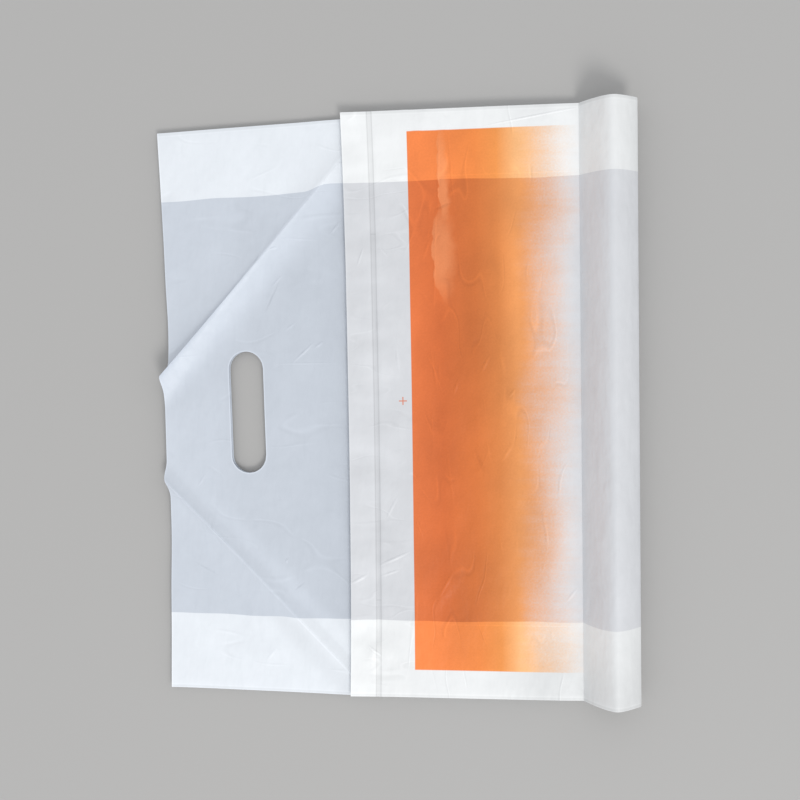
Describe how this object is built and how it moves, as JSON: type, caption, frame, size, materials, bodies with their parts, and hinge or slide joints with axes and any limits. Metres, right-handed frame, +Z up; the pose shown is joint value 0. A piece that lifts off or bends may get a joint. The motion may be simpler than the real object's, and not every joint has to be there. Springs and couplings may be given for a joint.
{
  "type": "gusseted film mailer bag with die-cut hand hole",
  "caption": "Thin white film bag with side gussets, a stadium hand hole and a welded bottom, lying flat and folded back on itself so that the fold springs into a loop.",
  "frame": {"origin": "middle of the footprint, on the surface that the bag lies on", "axes": "+X from the open mouth to the sprung fold, +Y across the bag's width, +Z up off the surface"},
  "size_m": [0.2616, 0.32, 0.0233],
  "materials": {
    "film": "thin translucent white film, satin, with an orange printed field on the outer face"
  },
  "bodies": {
    "root": {"bag": "film"}
  },
  "joints": []
}
